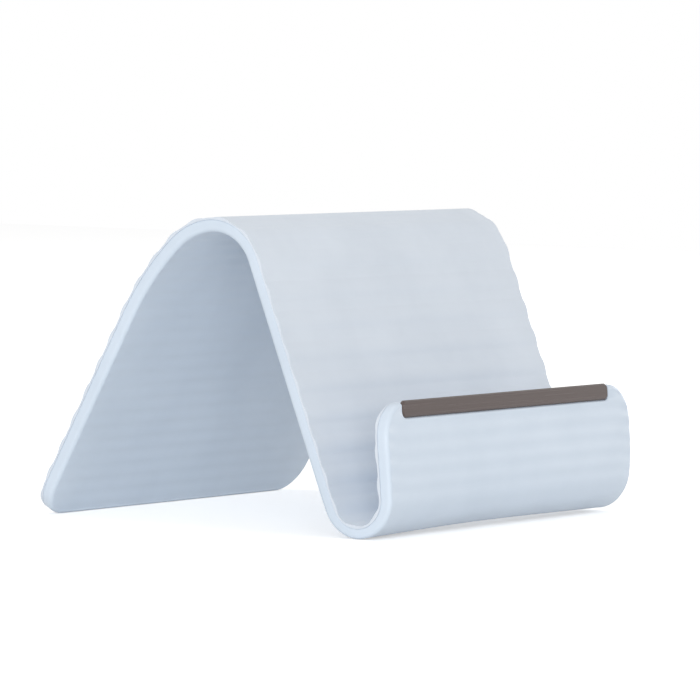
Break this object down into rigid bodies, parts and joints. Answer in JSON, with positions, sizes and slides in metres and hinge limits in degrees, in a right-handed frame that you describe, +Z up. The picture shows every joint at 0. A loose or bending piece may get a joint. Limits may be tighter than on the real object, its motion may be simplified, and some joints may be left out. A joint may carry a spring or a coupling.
{
  "type": "foldable phone stand",
  "caption": "Stand bent from one soft strip: a cradle behind a short lip holds a phone against a ribbed panel that a back leg props up.",
  "frame": {"origin": "middle of the stand's footprint, on the table", "axes": "+X along the strip's width, to the right of someone who faces the lip; +Y from the lip to the back leg; +Z up"},
  "size_m": [0.0994, 0.0986, 0.0691],
  "materials": {
    "strip": "satin pale blue silicone with fine cross waves",
    "pad": "matt pale blue silicone",
    "core": "plain soft sheet",
    "plate": "gloss dark grey-brown"
  },
  "bodies": {
    "root": {"base_strip": "strip", "ribbed_pad": "pad", "core_sheet": "core", "lip_plate": "plate"}
  },
  "joints": []
}
